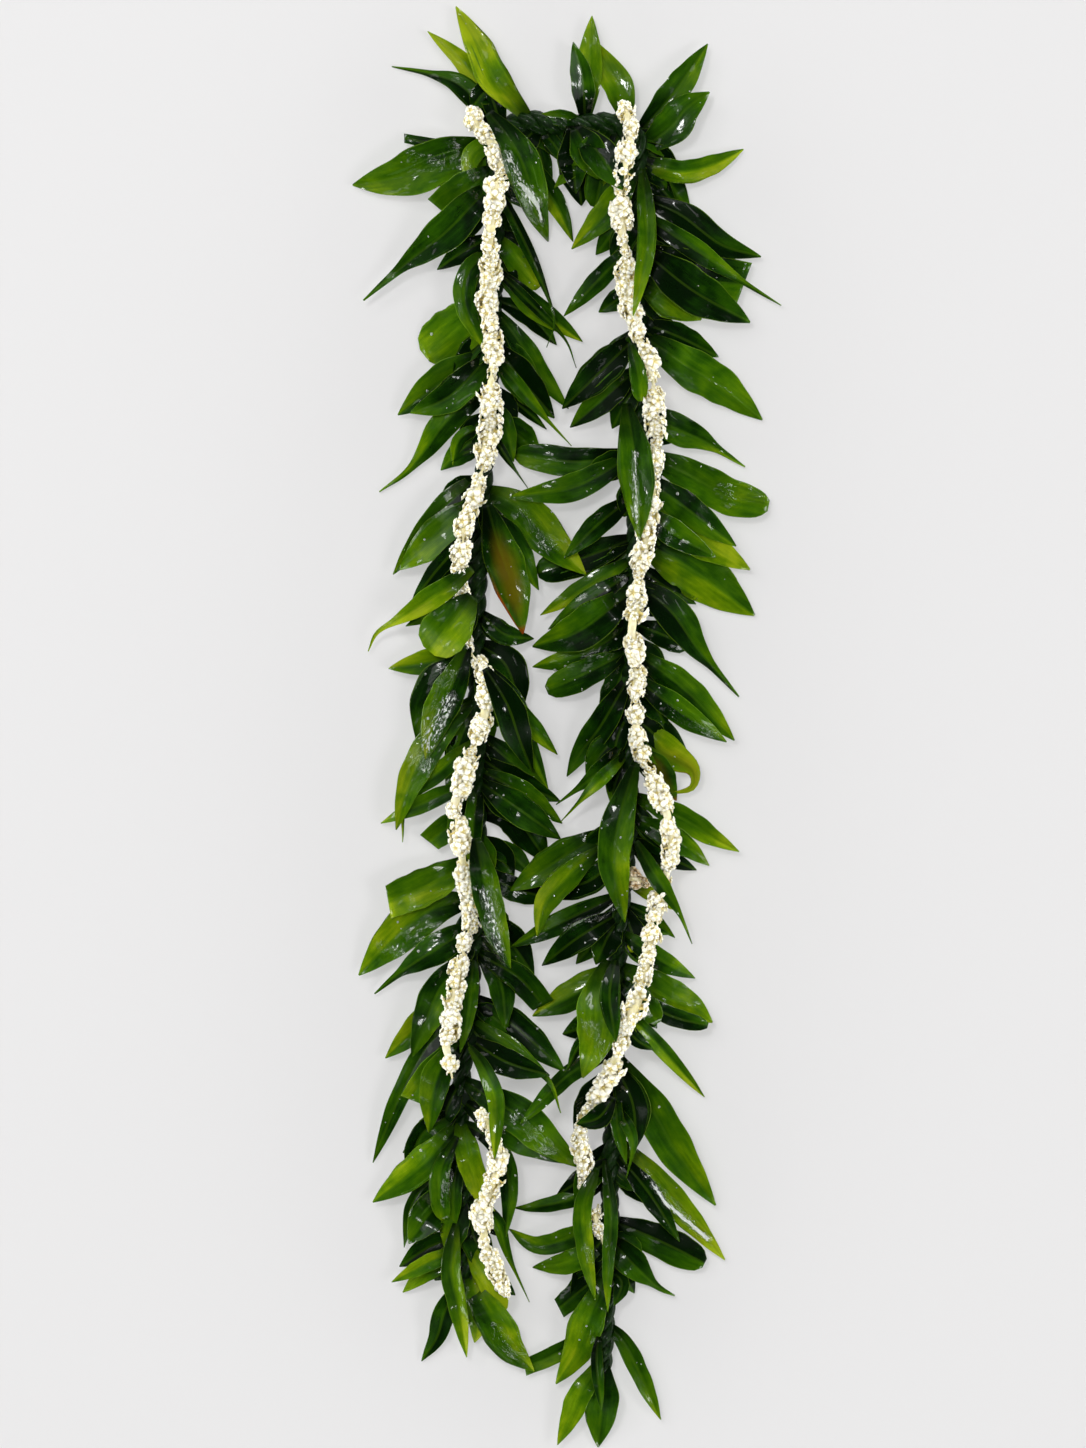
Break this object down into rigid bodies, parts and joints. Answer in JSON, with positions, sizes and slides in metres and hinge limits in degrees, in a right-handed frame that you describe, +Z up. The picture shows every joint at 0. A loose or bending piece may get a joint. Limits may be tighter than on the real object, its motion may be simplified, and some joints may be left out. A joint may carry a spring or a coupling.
{
  "type": "ti leaf lei",
  "caption": "Open-ended twisted rope of glossy green leaves with two strings of small white blossoms along it, laid flat in a long narrow loop.",
  "frame": {"origin": "middle of the box, on the surface that the lei lies on", "axes": "+Y runs up the lei from the two tails to the neck, +Z points up from the surface, +X to the right seen from above"},
  "size_m": [0.2744, 0.9214, 0.0466],
  "materials": {
    "ti_leaf": "wet and glossy, deep green with yellow-green tips",
    "blossoms": "waxy off-white petals with yellow-green tubes"
  },
  "bodies": {
    "root": {"blossoms_inner_glimpse": "blossoms", "blossoms_left": "blossoms", "blossoms_left_tail": "blossoms", "blossoms_right": "blossoms", "blossoms_right_tail": "blossoms", "front_leaf_brown_edge": "ti_leaf", "front_leaf_inner_folded": "ti_leaf", "front_leaf_inner_wide": "ti_leaf", "front_leaf_left_curved": "ti_leaf", "front_leaf_left_dark": "ti_leaf", "front_leaf_left_long": "ti_leaf", "front_leaf_left_pale": "ti_leaf", "front_leaf_left_round": "ti_leaf", "front_leaf_left_strap": "ti_leaf", "front_leaf_left_tail": "ti_leaf", "front_leaf_left_upper": "ti_leaf", "front_leaf_left_wet": "ti_leaf", "front_leaf_right_broad": "ti_leaf", "front_leaf_right_dark": "ti_leaf", "front_leaf_right_end": "ti_leaf", "front_leaf_right_hanging": "ti_leaf", "front_leaf_right_satin": "ti_leaf", "front_leaf_right_short": "ti_leaf", "front_leaf_right_strap": "ti_leaf", "front_leaf_right_tail": "ti_leaf", "front_leaf_right_twisted": "ti_leaf", "front_leaf_right_upper": "ti_leaf", "front_leaf_right_white_streak": "ti_leaf", "leaves_left_01": "ti_leaf", "leaves_left_02": "ti_leaf", "leaves_left_03": "ti_leaf", "leaves_left_04": "ti_leaf", "leaves_left_05": "ti_leaf", "leaves_left_06": "ti_leaf", "leaves_left_07": "ti_leaf", "leaves_left_08": "ti_leaf", "leaves_left_09": "ti_leaf", "leaves_left_10": "ti_leaf", "leaves_left_11": "ti_leaf", "leaves_left_12": "ti_leaf", "leaves_left_13": "ti_leaf", "leaves_left_14": "ti_leaf", "leaves_neck_01": "ti_leaf", "leaves_neck_02": "ti_leaf", "leaves_right_01": "ti_leaf", "leaves_right_02": "ti_leaf", "leaves_right_03": "ti_leaf", "leaves_right_04": "ti_leaf", "leaves_right_05": "ti_leaf", "leaves_right_06": "ti_leaf", "leaves_right_07": "ti_leaf", "leaves_right_08": "ti_leaf", "leaves_right_09": "ti_leaf", "leaves_right_10": "ti_leaf", "leaves_right_11": "ti_leaf", "leaves_right_12": "ti_leaf", "leaves_right_13": "ti_leaf", "leaves_right_14": "ti_leaf"}
  },
  "joints": []
}
